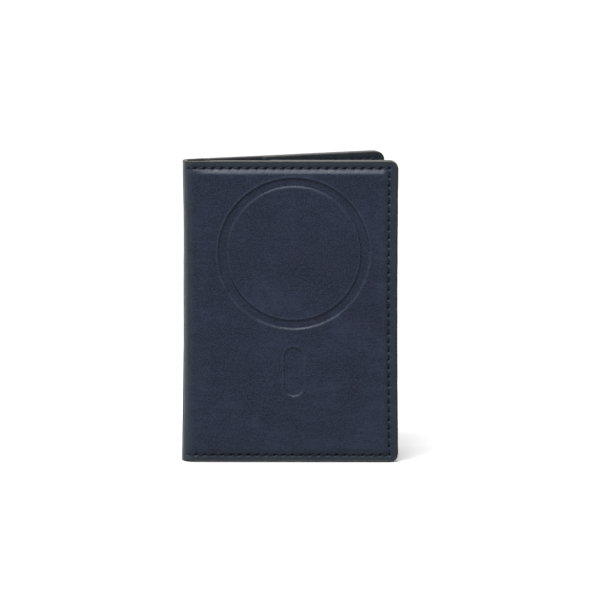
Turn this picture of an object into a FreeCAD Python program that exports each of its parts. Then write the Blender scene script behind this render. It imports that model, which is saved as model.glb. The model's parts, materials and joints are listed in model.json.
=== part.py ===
import FreeCAD, Part
import math
import os

import Sketcher

# A bifold card holder: two stitched, padded leather covers joined by a soft spine. The front cover
# hides a ring of magnets and one upright bar magnet, pressed through the leather as shallow marks.
# Millimetres. The holder stands on its lower edges: +Z is up, the front cover faces -Y and the spine
# is at -X. The origin is the middle of the front cover's lower edge. Every piece is drawn with the
# holder shut and then turned about the two folds by its Placement.

Vector = FreeCAD.Vector
Constraint = Sketcher.Constraint

doc = FreeCAD.newDocument("card_holder")

DIMENSIONS = (
    ("cover_width", 79.0, "one shut cover, outside of the spine to the free edge"),
    ("cover_height", 111.4, "lower edge to upper edge"),
    ("corner_radius", 3.2, "free corners, seen from the front"),
    ("leather", 1.2, "outer leather"),
    ("lining", 0.5, "inner lining"),
    ("slot_gap", 0.85, "clear space for one card, and the filler strips' thickness"),
    ("pocket_sheet", 0.5, "leather of an inner pocket"),
    ("note_pocket_edge", 30.0, "open edge of the deep pocket, from the cover's middle to the spine side"),
    ("card_pocket_edge", 8.0, "open edge of the card pocket, from the cover's middle to the spine side"),
    ("filler_width", 4.5, "filler strips that hold the pockets' edges apart"),
    ("filler_joint", 0.2, "gap where two filler strips meet"),
    ("pad_rise", 1.0, "how far the padded middle stands proud, and the board's thickness"),
    ("pad_slope", 0.9, "chamfer round the padded middle"),
    ("pad_corner", 2.5, "corner radius of the padded middle"),
    ("board_inset", 1.0, "padded middle's foot to the board's edge"),
    ("seam_side", 3.0, "seam to the free edge"),
    ("seam_top", 2.7, "seam to the upper edge"),
    ("seam_bottom", 2.7, "seam to the lower edge"),
    ("seam_to_pad", 0.4, "seam to the foot of the padded middle"),
    ("bend_radius", 4.0, "outside of the leather round each fold, shut"),
    ("spine_flat", 2.0, "flat middle of the spine, between the two folds"),
    ("bend_kept", 35.0, "degrees of a fold's quarter turn that each neighbour carries"),
    ("fold_open", 10.0, "degrees that each fold is opened as the holder stands"),
    ("ring_offset", 1.3, "magnet ring's centre, from the cover's middle to the free side"),
    ("ring_height", 77.4, "magnet ring's centre above the lower edge"),
    ("ring_outer", 28.0, "outer radius of the pressed ring"),
    ("ring_inner", 24.5, "inner radius of the pressed ring"),
    ("press_depth", 0.35, "depth of the pressed marks"),
    ("magnet_play", 0.3, "clearance beside a magnet"),
    ("magnet_thickness", 0.6, "ring segments and bar"),
    ("magnet_count", 18.0, "segments round the ring"),
    ("magnet_span", 19.0, "degrees covered by one segment"),
    ("backing_thickness", 0.2, "steel ring behind the magnets"),
    ("bar_height", 33.7, "bar magnet's centre above the lower edge"),
    ("bar_length", 18.4, "pressed bar mark, end to end"),
    ("bar_width", 7.5, "pressed bar mark, side to side"),
    ("stitch_pitch", 3.2, "hole to hole along the seam"),
    ("stitch_length", 2.4, "visible thread of one stitch"),
    ("thread_width", 0.6, "waxed thread, flattened"),
    ("thread_rise", 0.25, "thread standing proud of the leather"),
)

dims = doc.addObject("Spreadsheet::Sheet", "Dims")
for row, (alias, number, meaning) in enumerate(DIMENSIONS, start=1):
    dims.set(f"A{row}", str(number))
    dims.setAlias(f"A{row}", alias)
    dims.set(f"B{row}", meaning)
doc.recompute()

# Expressions shared by several pieces. X runs from the spine to the free edge.
FREE_EDGE = "Dims.cover_width / 2"
BEND_X = "(Dims.bend_radius - Dims.cover_width / 2)"
TOP = "Dims.cover_height"
SEAM_X = "(Dims.cover_width / 2 - Dims.seam_side)"
SEAM_TOP = "(Dims.cover_height - Dims.seam_top)"
PAD = (
    f"({BEND_X} + Dims.seam_to_pad)",
    "(Dims.seam_bottom + Dims.seam_to_pad)",
    f"({SEAM_X} - Dims.seam_to_pad)",
    f"({SEAM_TOP} - Dims.seam_to_pad)",
)
BOARD = (
    f"{PAD[0]} + Dims.board_inset",
    f"{PAD[1]} + Dims.board_inset",
    f"{PAD[2]} - Dims.board_inset",
    f"{PAD[3]} - Dims.board_inset",
)

# Depths of the layers, measured inwards from the outer face of a cover's stitched border.
UNDER_LEATHER = "Dims.leather"
UNDER_LINING = "(Dims.leather + Dims.lining)"
NOTE_POCKET = f"({UNDER_LINING} + Dims.slot_gap)"
UNDER_NOTE_POCKET = f"({NOTE_POCKET} + Dims.pocket_sheet)"
CARD_POCKET = f"({UNDER_NOTE_POCKET} + Dims.slot_gap)"
THICKNESS = f"({CARD_POCKET} + Dims.pocket_sheet)"
BOARD_FACE = "(Dims.leather - Dims.pad_rise)"
MAGNET_BACK = f"({BOARD_FACE} + Dims.magnet_thickness)"
BACKING_BACK = f"({MAGNET_BACK} + Dims.backing_thickness)"

PLAY = "Dims.magnet_play"
SHUT_DEPTH = "(2 * Dims.bend_radius + Dims.spine_flat)"
FRONT, BACK = "front", "back"


def value(expression):
    """The number that an expression of the sheet stands for."""
    result = dims.evalExpression(str(expression))
    return float(getattr(result, "Value", result))


def plane_offset(side, depth):
    """Distance along an XZ sketch's normal, -Y, to a depth inside the shut front or back cover."""
    if side == FRONT:
        return f"{THICKNESS} / 2 - ({depth})"
    return f"{THICKNESS} / 2 + ({depth}) - {SHUT_DEPTH}"


def new_body(label):
    body = doc.addObject("PartDesign::Body", label)
    body.Label = label
    body.AllowCompound = True
    return body


def new_sketch(body, name, role, offsets=()):
    """A sketch on one of the body's own origin planes, moved by expressions for x, y and z."""
    sketch = body.newObject("Sketcher::SketchObject", name)
    plane = next(item for item in body.Origin.OriginFeatures if item.Role == role)
    sketch.AttachmentSupport = [(plane, "")]
    sketch.MapMode = "FlatFace"
    for axis, expression in offsets:
        sketch.setExpression(f"AttachmentOffset.Base.{axis}", expression)
    return sketch


def bind(sketch, kind, *references, to):
    """A dimension of the sketch that follows an expression."""
    index = sketch.addConstraint(Constraint(kind, *references, value(to)))
    sketch.setExpression(f"Constraints[{index}]", to)


def add_rectangle(sketch, left, low, right, high):
    x0, y0, x1, y1 = (value(side) for side in (left, low, right, high))
    corners = (Vector(x0, y0), Vector(x1, y0), Vector(x1, y1), Vector(x0, y1))
    first = sketch.GeometryCount
    for here, there in zip(corners, corners[1:] + corners[:1]):
        sketch.addGeometry(Part.LineSegment(here, there), False)
    for line in range(4):
        following = first + (line + 1) % 4
        sketch.addConstraint(Constraint("Coincident", first + line, 2, following, 1))
    for line, kind in enumerate(("Horizontal", "Vertical", "Horizontal", "Vertical")):
        sketch.addConstraint(Constraint(kind, first + line))
    bind(sketch, "DistanceX", -1, 1, first, 1, to=left)
    bind(sketch, "DistanceY", -1, 1, first, 1, to=low)
    bind(sketch, "DistanceX", -1, 1, first + 2, 1, to=right)
    bind(sketch, "DistanceY", -1, 1, first + 2, 1, to=high)


def add_circle(sketch, radius):
    """A circle round the sketch's own origin."""
    circle = sketch.addGeometry(Part.Circle(Vector(), Vector(0, 0, 1), value(radius)), False)
    sketch.addConstraint(Constraint("Coincident", circle, 3, -1, 1))
    bind(sketch, "Radius", circle, to=radius)


def add_stadium(sketch, length, width):
    """An upright bar with round ends, centred on the sketch's own origin."""
    half_straight = f"(({length}) - ({width})) / 2"
    radius = value(f"({width}) / 2")
    reach = value(half_straight)
    upright = Vector(0, 0, 1)
    ends = []
    for height, start in ((reach, 0.0), (-reach, math.pi)):
        circle = Part.Circle(Vector(0, height), upright, radius)
        ends.append(sketch.addGeometry(Part.ArcOfCircle(circle, start, start + math.pi), False))
    for x, start, end in ((-radius, ends[0], ends[1]), (radius, ends[1], ends[0])):
        rise = reach if x < 0 else -reach
        line = sketch.addGeometry(Part.LineSegment(Vector(x, rise), Vector(x, -rise)), False)
        sketch.addConstraint(Constraint("Tangent", start, 2, line, 1))
        sketch.addConstraint(Constraint("Tangent", line, 2, end, 1))
    for end in ends:
        sketch.addConstraint(Constraint("PointOnObject", end, 3, -2))
    bind(sketch, "DistanceY", -1, 1, ends[0], 3, to=half_straight)
    bind(sketch, "DistanceY", ends[1], 3, -1, 1, to=half_straight)
    bind(sketch, "Radius", ends[0], to=f"({width}) / 2")


def add_sector(sketch, inner, outer, start, sweep):
    """A slice of a ring round the sketch's own origin; start and sweep are expressions in degrees."""
    first_angle = math.radians(value(start))
    last_angle = first_angle + math.radians(value(sweep))
    upright = Vector(0, 0, 1)
    arcs = []
    for radius in (inner, outer):
        circle = Part.Circle(Vector(), upright, value(radius))
        arcs.append(sketch.addGeometry(Part.ArcOfCircle(circle, first_angle, last_angle), False))
        sketch.addConstraint(Constraint("Coincident", arcs[-1], 3, -1, 1))
        bind(sketch, "Radius", arcs[-1], to=radius)
    for angle, end, expression in (
        (first_angle, 1, start),
        (last_angle, 2, f"({start}) + ({sweep})"),
    ):
        outward = Vector(math.cos(angle), math.sin(angle))
        ray = Part.LineSegment(outward * value(inner), outward * value(outer))
        line = sketch.addGeometry(ray, False)
        sketch.addConstraint(Constraint("Coincident", line, 1, arcs[0], end))
        sketch.addConstraint(Constraint("Coincident", line, 2, arcs[1], end))
        sketch.addConstraint(Constraint("PointOnObject", -1, 1, line))
        index = sketch.addConstraint(Constraint("Angle", line, angle))
        sketch.setExpression(f"Constraints[{index}]", f"({expression}) * 1 deg")


def add_feature(body, kind, name, sketch, length, reverse=False):
    """A Pad or a Pocket of the sketch."""
    feature = body.newObject(f"PartDesign::{kind}", name)
    feature.Profile = sketch
    feature.setExpression("Length", length)
    feature.Reversed = reverse
    sketch.Visibility = False
    doc.recompute()
    return feature


def pad_slab(body, name, side, outline, shallow, deep):
    """A flat layer of a cover between two depths."""
    sketch = new_sketch(body, f"{name}Sketch", "XZ_Plane", [("z", plane_offset(side, deep))])
    add_rectangle(sketch, *outline)
    length = f"({deep}) - ({shallow})"
    return add_feature(body, "Pad", name, sketch, length, reverse=side == BACK)


def press(body, name, side, depth, length, draw, centre=("0", "0"), outward=False):
    """A pocket that starts at a depth in a cover and runs inwards, or outwards if asked."""
    offsets = [("x", centre[0]), ("y", centre[1]), ("z", plane_offset(side, depth))]
    sketch = new_sketch(body, f"{name}Sketch", "XZ_Plane", offsets)
    draw(sketch)
    towards_front = (side == BACK) != outward
    before = body.Shape.Volume
    pocket = add_feature(body, "Pocket", name, sketch, length, reverse=towards_front)
    if body.Shape.Volume > before - 1e-3:
        raise ValueError(f"{body.Label}: the pocket {name} cuts nothing")
    return pocket


def round_edges(body, base, radius, wanted, kind="Fillet", size="Radius"):
    """Fillets or chamfers the edges of the base feature that the test picks."""
    names = [f"Edge{i}" for i, edge in enumerate(base.Shape.Edges, start=1) if wanted(edge)]
    if not names:
        raise ValueError(f"{body.Label} has no edge to round")
    feature = body.newObject(f"PartDesign::{kind}", f"{body.Label}_{kind}")
    feature.Base = (base, names)
    feature.setExpression(size, radius)
    doc.recompute()
    return feature


def runs_through(edge, x, z=None):
    """Whether an edge lies along Y at this x, and at this z if one is given."""
    ends = [vertex.Point for vertex in edge.Vertexes]
    if len(ends) != 2 or abs(ends[0].y - ends[1].y) < 1e-6:
        return False
    return all(
        abs(end.x - x) < 1e-6 and (z is None or abs(end.z - z) < 1e-6) for end in ends
    )


def round_free_corners(body, base):
    edge_x = value(FREE_EDGE)
    return round_edges(body, base, "Dims.corner_radius", lambda edge: runs_through(edge, edge_x))


def bend_sector(body, name, side, shallow, deep, start):
    """A full-height stretch of a layer round one fold, start degrees on from its flat cover."""
    centre_y = f"Dims.bend_radius - {THICKNESS} / 2"
    first = f"270 - ({start}) - Dims.bend_kept"
    if side == BACK:
        centre_y = f"{centre_y} + Dims.spine_flat"
        first = f"90 + ({start})"
    sketch = new_sketch(body, f"{name}Sketch", "XY_Plane", [("x", BEND_X), ("y", centre_y)])
    inner = f"Dims.bend_radius - ({deep})"
    outer = f"Dims.bend_radius - ({shallow})"
    add_sector(sketch, inner, outer, first, "Dims.bend_kept")
    return add_feature(body, "Pad", name, sketch, TOP)


def make_outer_leather(side):
    """Formed leather of one cover: flat border, padded middle and its share of the fold."""
    body = new_body(f"{side}_outer_leather")
    border_outline = (BEND_X, "0", FREE_EDGE, TOP)
    border = pad_slab(body, "Border", side, border_outline, "0", UNDER_LEATHER)
    round_free_corners(body, border)
    raised = pad_slab(body, "Raised", side, PAD, "-Dims.pad_rise", "0")
    outside = value(plane_offset(side, "-Dims.pad_rise"))
    corner_xs = (value(PAD[0]), value(PAD[2]))
    corner_edges = round_edges(
        body,
        raised,
        "Dims.pad_corner",
        lambda edge: any(runs_through(edge, x) for x in corner_xs) and reaches(edge, -outside),
    )
    round_edges(
        body,
        corner_edges,
        "Dims.pad_slope",
        lambda edge: lies_on(edge, -outside),
        kind="Chamfer",
        size="Size",
    )
    press(
        body,
        "Hollow",
        side,
        UNDER_LEATHER,
        "Dims.pad_rise",
        lambda sketch: add_rectangle(sketch, *BOARD),
        outward=True,
    )
    if side == FRONT:
        press_marks(body)
    bend_sector(body, "Bend", side, "0", UNDER_LEATHER, "0")


def reaches(edge, y):
    """Whether an edge touches the plane at this y."""
    return any(abs(vertex.Point.y - y) < 1e-6 for vertex in edge.Vertexes)


def lies_on(edge, y):
    """Whether an edge lies in the plane at this y."""
    return all(abs(vertex.Point.y - y) < 1e-6 for vertex in edge.Vertexes)


def draw_ring(sketch, play="0"):
    """The magnet ring's outline, drawn in by the play on both sides."""
    add_circle(sketch, f"Dims.ring_outer - ({play})")
    add_circle(sketch, f"Dims.ring_inner + {play}")


def draw_bar(sketch, play="0"):
    """The bar magnet's outline, drawn in by the play all round."""
    add_stadium(sketch, f"Dims.bar_length - 2 * {play}", f"Dims.bar_width - 2 * {play}")


def press_marks(body):
    """The ring and the upright bar pressed into the front cover's padded middle."""
    for name, draw, height in (
        ("Ring", draw_ring, "Dims.ring_height"),
        ("Bar", draw_bar, "Dims.bar_height"),
    ):
        centre = ("Dims.ring_offset", height)
        press(body, name, FRONT, "-Dims.pad_rise", "Dims.press_depth", draw, centre)


def make_board(side):
    """Stiff board under the padded middle; the front one is cut for the magnets."""
    body = new_body(f"{side}_board")
    pad_slab(body, "Board", side, BOARD, BOARD_FACE, UNDER_LEATHER)
    if side == BACK:
        return
    ring_depth = "Dims.magnet_thickness + Dims.backing_thickness"
    for name, draw, height, depth in (
        ("RingChannel", draw_ring, "Dims.ring_height", ring_depth),
        ("BarRecess", draw_bar, "Dims.bar_height", "Dims.magnet_thickness"),
    ):
        press(body, name, side, BOARD_FACE, depth, draw, ("Dims.ring_offset", height))


def pad_magnet_layer(body, name, deep, length, draw, height):
    """A flat piece set into the front board, from its deep face outwards."""
    offsets = [("x", "Dims.ring_offset"), ("y", height), ("z", plane_offset(FRONT, deep))]
    sketch = new_sketch(body, f"{name}Sketch", "XZ_Plane", offsets)
    draw(sketch)
    return sketch, add_feature(body, "Pad", name, sketch, length)


def draw_segment(sketch):
    """One magnet of the ring."""
    inner = f"Dims.ring_inner + {PLAY}"
    outer = f"Dims.ring_outer - {PLAY}"
    add_sector(sketch, inner, outer, "0", "Dims.magnet_span")


def make_magnet_ring():
    """Magnet segments round a ring, as one group of separate solids."""
    body = new_body("magnet_ring")
    thickness = "Dims.magnet_thickness"
    sketch, segment = pad_magnet_layer(
        body, "Segment", MAGNET_BACK, thickness, draw_segment, "Dims.ring_height"
    )
    ring = body.newObject("PartDesign::PolarPattern", "Segments")
    ring.Originals = [segment]
    ring.Axis = (sketch, ["N_Axis"])
    ring.setExpression("Occurrences", "Dims.magnet_count")
    body.Tip = ring


def make_backing_ring():
    """Thin steel ring behind the magnets, which carries their flux round."""
    body = new_body("steel_backing_ring")
    thickness = "Dims.backing_thickness"
    pad_magnet_layer(
        body,
        "Backing",
        BACKING_BACK,
        thickness,
        lambda sketch: draw_ring(sketch, PLAY),
        "Dims.ring_height",
    )


def make_bar_magnet():
    """Upright magnet that keeps the holder from turning on the phone."""
    body = new_body("bar_magnet")
    thickness = "Dims.magnet_thickness"
    pad_magnet_layer(
        body,
        "Bar",
        MAGNET_BACK,
        thickness,
        lambda sketch: draw_bar(sketch, PLAY),
        "Dims.bar_height",
    )


def make_lining(side):
    body = new_body(f"{side}_lining")
    outline = (BEND_X, "0", FREE_EDGE, TOP)
    slab = pad_slab(body, "Lining", side, outline, UNDER_LEATHER, UNDER_LINING)
    round_free_corners(body, slab)
    bend_sector(body, "Bend", side, UNDER_LEATHER, UNDER_LINING, "0")


def make_pocket(side, name, open_edge, shallow, deep):
    """A pocket sheet, sewn on three sides and open towards the spine."""
    body = new_body(f"{side}_{name}")
    sheet = pad_slab(body, "Sheet", side, (open_edge, "0", FREE_EDGE, TOP), shallow, deep)
    round_free_corners(body, sheet)


def make_filler(side, name, open_edge, shallow, deep):
    """Three strips that hold a pocket sheet one card's thickness off the layer behind it."""
    body = new_body(f"{side}_{name}")
    width = "Dims.filler_width"
    lower = pad_slab(body, "Lower", side, (open_edge, "0", FREE_EDGE, width), shallow, deep)
    round_free_corner(body, lower, 0.0)
    upper_outline = (open_edge, f"{TOP} - {width}", FREE_EDGE, TOP)
    upper = pad_slab(body, "Upper", side, upper_outline, shallow, deep)
    round_free_corner(body, upper, value(TOP))
    joint = f"{width} + Dims.filler_joint"
    upright = (f"{FREE_EDGE} - {width}", joint, FREE_EDGE, f"{TOP} - ({joint})")
    pad_slab(body, "Upright", side, upright, shallow, deep)


def round_free_corner(body, base, z):
    edge_x = value(FREE_EDGE)
    return round_edges(body, base, "Dims.corner_radius", lambda edge: runs_through(edge, edge_x, z))


def make_spine(name, shallow, deep):
    """One layer of the spine: what is left of both folds, and the flat between them."""
    body = new_body(name)
    on_from_cover = "90 - Dims.bend_kept"
    bend_sector(body, "FrontBend", FRONT, shallow, deep, on_from_cover)
    bend_sector(body, "BackBend", BACK, shallow, deep, on_from_cover)
    sketch = new_sketch(body, "FlatSketch", "XY_Plane")
    outer_x = f"({shallow}) - Dims.cover_width / 2"
    inner_x = f"({deep}) - Dims.cover_width / 2"
    start = f"Dims.bend_radius - {THICKNESS} / 2"
    add_rectangle(sketch, outer_x, start, inner_x, f"{start} + Dims.spine_flat")
    add_feature(body, "Pad", "Flat", sketch, TOP)


def seam_runs(start, end):
    """Centre points of the stitches on a straight seam."""
    length = (end - start).Length
    count = round(length / value("Dims.stitch_pitch"))
    return [start + (end - start) * ((i + 0.5) / count) for i in range(count)]


def make_stitching(side):
    """The visible threads on both faces of a cover, as a group of separate small solids."""
    corner_low = Vector(value(SEAM_X), 0, value("Dims.seam_bottom"))
    corner_high = Vector(value(SEAM_X), 0, value(SEAM_TOP))
    spine_x = value(BEND_X)
    thread = value("Dims.thread_width")
    rise = value("Dims.thread_rise")
    outer_y = -value(plane_offset(side, "0"))
    inner_y = -value(plane_offset(side, THICKNESS))
    outward = -1 if side == FRONT else 1
    pocket_x = value("-Dims.card_pocket_edge")
    threads = []
    for start, end in (
        (corner_low, corner_high),
        (corner_low, Vector(spine_x, 0, corner_low.z)),
        (corner_high, Vector(spine_x, 0, corner_high.z)),
    ):
        along = (end - start).normalize()
        size = Vector(thread, rise, thread) + Vector(
            abs(along.x), 0, abs(along.z)
        ) * (value("Dims.stitch_length") - thread)
        for middle in seam_runs(start, end):
            faces = [(outer_y, outward)]
            if middle.x - size.x / 2 > pocket_x:
                faces.append((inner_y, -outward))
            for face_y, away in faces:
                low_y = min(face_y, face_y + away * rise)
                corner = Vector(middle.x - size.x / 2, low_y, middle.z - size.z / 2)
                threads.append(Part.makeBox(size.x, size.y, size.z, corner))
    stitching = doc.addObject("Part::Feature", f"{side}_stitching")
    stitching.Label = f"{side}_stitching"
    stitching.Shape = Part.makeCompound(threads)


def make_cover(side):
    make_outer_leather(side)
    make_board(side)
    make_lining(side)
    note_edge = "-Dims.note_pocket_edge"
    card_edge = "-Dims.card_pocket_edge"
    make_filler(side, "note_pocket_filler", note_edge, UNDER_LINING, NOTE_POCKET)
    make_pocket(side, "note_pocket", note_edge, NOTE_POCKET, UNDER_NOTE_POCKET)
    make_filler(side, "card_pocket_filler", card_edge, UNDER_NOTE_POCKET, CARD_POCKET)
    make_pocket(side, "card_pocket", card_edge, CARD_POCKET, THICKNESS)
    make_stitching(side)


def fold_axis(side):
    """Where a shut fold turns: its distance from the bend's centre keeps the leather's length
    the same when the quarter turn is opened flat."""
    middle_radius = value("Dims.bend_radius - Dims.leather / 2")
    reach = middle_radius * math.pi / 4
    centre_y = value(f"Dims.bend_radius - {THICKNESS} / 2")
    if side == FRONT:
        return Vector(value(BEND_X) - reach, centre_y - reach, 0)
    return Vector(value(BEND_X) - reach, centre_y + value("Dims.spine_flat") + reach, 0)


def turn_about(point, degrees):
    return FreeCAD.Placement(Vector(), FreeCAD.Rotation(Vector(0, 0, 1), degrees), point)


for cover in (FRONT, BACK):
    make_cover(cover)
make_magnet_ring()
make_backing_ring()
make_bar_magnet()
make_spine("spine_outer_leather", "0", UNDER_LEATHER)
make_spine("spine_lining", UNDER_LEATHER, UNDER_LINING)

fold_angle = value("Dims.fold_open")
spine_place = turn_about(fold_axis(FRONT), fold_angle)
back_place = spine_place * turn_about(fold_axis(BACK), fold_angle)
pieces = [item for item in doc.Objects if item.TypeId in ("PartDesign::Body", "Part::Feature")]
for piece in pieces:
    if piece.Label.startswith("spine"):
        piece.Placement = spine_place
    elif piece.Label.startswith(BACK):
        piece.Placement = back_place
doc.recompute()

for item in doc.Objects:
    if "Invalid" in item.State or "Error" in item.State:
        raise RuntimeError(f"{item.Label} failed: {item.State}")

os.makedirs("parts", exist_ok=True)
for piece in pieces:
    if piece.Shape.isNull() or not piece.Shape.isValid():
        raise RuntimeError(f"{piece.Label} has no valid shape")
    piece.Shape.exportStep(f"parts/{piece.Label}.step")
    print(f"{piece.Label}: {len(piece.Shape.Solids)} solids, {piece.Shape.Volume:.1f} mm3")

for side in (FRONT, BACK):
    axis = fold_axis(side) if side == FRONT else spine_place.multVec(fold_axis(side))
    print(f"{side} fold axis: x {axis.x:.4f}, y {axis.y:.4f}")
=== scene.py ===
import json
import math

import bpy
import numpy as np
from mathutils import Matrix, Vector
from mathutils.geometry import delaunay_2d_cdt


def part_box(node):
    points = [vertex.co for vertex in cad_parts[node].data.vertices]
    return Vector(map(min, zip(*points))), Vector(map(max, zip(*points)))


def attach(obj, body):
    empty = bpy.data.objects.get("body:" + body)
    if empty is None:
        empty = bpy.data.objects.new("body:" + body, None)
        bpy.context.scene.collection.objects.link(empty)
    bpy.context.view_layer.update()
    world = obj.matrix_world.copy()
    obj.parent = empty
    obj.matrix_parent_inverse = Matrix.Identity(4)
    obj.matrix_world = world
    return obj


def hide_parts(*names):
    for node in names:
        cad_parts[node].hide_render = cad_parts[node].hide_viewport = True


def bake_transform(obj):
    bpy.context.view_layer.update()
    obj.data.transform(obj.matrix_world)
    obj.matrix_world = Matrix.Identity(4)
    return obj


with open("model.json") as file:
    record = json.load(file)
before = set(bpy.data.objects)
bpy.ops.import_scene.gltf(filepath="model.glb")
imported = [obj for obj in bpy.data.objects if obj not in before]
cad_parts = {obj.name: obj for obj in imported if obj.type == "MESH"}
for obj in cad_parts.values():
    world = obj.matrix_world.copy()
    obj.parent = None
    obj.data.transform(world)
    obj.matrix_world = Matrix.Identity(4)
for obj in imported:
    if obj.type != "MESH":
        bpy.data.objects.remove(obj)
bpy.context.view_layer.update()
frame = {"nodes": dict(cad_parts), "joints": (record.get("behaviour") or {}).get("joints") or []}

# Looks of the card holder. Lengths are in millimetres until a mesh is made.
MM = 0.001
MM_PER_DM = 100.0
FRONT, BACK = "front", "back"
COVER_BODY = {FRONT: "front_cover", BACK: "back_cover"}


def node_box(name):
    """Lowest and highest corner of a CAD node, in millimetres."""
    low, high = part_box(name)
    return np.array(low) / MM, np.array(high) / MM


# ---------------------------------------------------------------- sizes, from the frame

leather_low, leather_high = node_box("front_outer_leather")
lining_low, _ = node_box("front_lining")
filler_low, _ = node_box("front_note_pocket_filler")
note_low, note_high = node_box("front_note_pocket")
card_low, card_high = node_box("front_card_pocket")
stitch_low, stitch_high = node_box("front_stitching")
ring_low, ring_high = node_box("magnet_ring")
bar_low, bar_high = node_box("bar_magnet")
board_low, board_high = node_box("front_board")

HEIGHT = leather_high[2]
FREE_X = leather_high[0]
BORDER_Y = -card_high[1]
PAD_RISE = BORDER_Y - leather_low[1]
LEATHER = lining_low[1] - BORDER_Y
LINED = filler_low[1] - BORDER_Y
NOTE_DEPTHS = (note_low[1] - BORDER_Y, note_high[1] - BORDER_Y)
CARD_DEPTHS = (card_low[1] - BORDER_Y, card_high[1] - BORDER_Y)

BEND_RADIUS = 4.0
BEND_X = BEND_RADIUS - FREE_X
THREAD_WIDTH = 0.6
MAGNET_PLAY = 0.3
RING_BAND = 3.5
CORNER_RADIUS = 3.2
FILLER_WIDTH = 4.5
FILLER_JOINT = 0.2
SEAM_DRAW = 0.3

# U runs along the outer face from the tangent line of the fold to the free edge. Below 0 it goes
# round the fold, as far as the middle of the spine.
U_FREE = FREE_X - BEND_X
U_SEAM = stitch_high[0] - THREAD_WIDTH / 2 - SEAM_DRAW - BEND_X
Z_SEAM = stitch_low[2] + THREAD_WIDTH / 2
Z_SEAM_TOP = stitch_high[2] - THREAD_WIDTH / 2
U_NOTE = note_low[0] - BEND_X
U_CARD = card_low[0] - BEND_X
RING_U = (ring_low[0] + ring_high[0]) / 2 - BEND_X
RING_Z = (ring_low[2] + ring_high[2]) / 2
RING_OUTER = (ring_high[0] - ring_low[0]) / 2 + MAGNET_PLAY
RING_INNER = RING_OUTER - RING_BAND
BAR_U = (bar_low[0] + bar_high[0]) / 2 - BEND_X
BAR_Z = (bar_low[2] + bar_high[2]) / 2
BAR_RADIUS = (bar_high[0] - bar_low[0]) / 2 + MAGNET_PLAY
BAR_REACH = (bar_high[2] - bar_low[2]) / 2 + MAGNET_PLAY - BAR_RADIUS

# The folds. The frame gives them as the holder stands; the sheets are drawn shut and then opened.
joints = {joint["name"]: joint for joint in frame["joints"]}
FOLD_OPEN = -math.radians(joints["front_fold"]["range_deg"][0])
FRONT_FOLD = np.array(joints["front_fold"]["pos_m"][:2]) / MM
BACK_FOLD_OPEN = np.array(joints["back_fold"]["pos_m"][:2]) / MM
FOLD_REACH = (BEND_RADIUS - LEATHER / 2) * math.pi / 4
SPINE_FLAT = math.dist(FRONT_FOLD, BACK_FOLD_OPEN) - 2 * FOLD_REACH
BEND_LENGTH = BEND_RADIUS * math.pi / 2
U_SPINE = -BEND_LENGTH - SPINE_FLAT / 2
MID_Y = BORDER_Y + BEND_RADIUS + SPINE_FLAT / 2
BACK_FOLD = np.array([FRONT_FOLD[0], 2 * MID_Y - FRONT_FOLD[1]])

# How the covers have settled: both long sides draw in at mid height and spread a little at the
# foot, the spine is tucked in and leans further in towards the top, and the upper edge has sunk at
# the spine and, less and less towards the free edge, along the back.
EDGE_BOW = 0.3
SPINE_BOW = 0.5
SPINE_LEAN = 0.4
SPINE_TUCK = 0.4
SPINE_DIP = 0.36
BACK_DIP_LOST = 0.9
FOOT_FLARE = 0.3

# The seam: slanted awl slits (lower, side and upper run), and the channel that the thread draws.
SEAM_START = -2.45
STITCH_PITCH = 3.2
SLIT_ANGLE = math.radians(19)
SLIT_REACH = (0.66, 0.44, 0.66)
SLIT_WIDTH = 0.25
SLIT_DEPTH = 0.62
CHANNEL_DEPTH, CHANNEL_WIDTH = 0.14, 0.6
DIMPLE_DEPTH, DIMPLE_WIDTH = 0.10, 1.0
SEAM_DEEPEST = 0.85
SEAM_FADE = 0.8

# One stitch: half its width and thickness, its slant, its arch and how deep its ends lie, what is
# left out at each end, its taper, and the depth and turn of its two plies.
THREAD_ACROSS, THREAD_OUT = 0.28, 0.20
THREAD_SLANT = 0.36
THREAD_ARCH, THREAD_SUNK = 0.44, 0.42
THREAD_TRIM = 0.5
THREAD_TAPER = 0.28
THREAD_PLY, THREAD_LAY = 0.10, 1.5
THREAD_STATIONS, THREAD_AROUND = 13, 10

# The padded middle, the border's cut edge, and the marks pressed in over the magnets.
SHOULDER = 1.85
PAD_FOOT = 0.15
PAD_CORNER = 2.2
SPINE_RAMP_START, SPINE_RAMP = 4.2, 11.0
EDGE_DROP, EDGE_DROP_WIDTH = 0.16, 1.5
PRESS_DEPTH = 0.46
PRESS_WALL = 0.52
BAR_PRESS_SHARE = 0.75
LIP_OFFSET, LIP_WIDTH = 0.30, 0.36
RING_LIP, RING_INNER_LIP, BAR_LIP = 0.09, 0.05, 0.06

# The painted edge: the leather stops short of it, and the paint laps onto both faces.
PAINT_INSET = 0.5
PAINT_RADIUS = 0.42
PAINT_LAP = ((-0.95, -0.30), (-0.76, -0.12), (-0.66, 0.00), (-0.57, 0.03), (-0.48, 0.01))

# The pockets: how far an empty one lies in, and the line pressed along its open edge.
POCKET_SLACK, POCKET_REACH = 0.5, 25.0
POCKET_ROUND, POCKET_ROUND_WIDTH = 0.17, 0.35
POCKET_LINE_DEPTH, POCKET_LINE_WIDTH, POCKET_LINE_INSET = 0.12, 0.28, 1.8
POCKET_STEP = 0.9

# Meshing: depth of the finely meshed border, spacing of the rows over a pressed wall, the distance
# at which points merge, and the area below which a triangle is left out.
BORDER_DEPTH = 6.6
WALL_ROW = 0.14
MERGE_DISTANCE = 1e-7
SLIVER = 1e-9


def smoothstep(t):
    """0 to 1, level at both ends."""
    t = np.clip(t, 0.0, 1.0)
    return t * t * (3.0 - 2.0 * t)


def bell(distance, width):
    """1 at no distance, falling smoothly to 0 past twice the width."""
    return np.exp(-((distance / width) ** 2))


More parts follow.
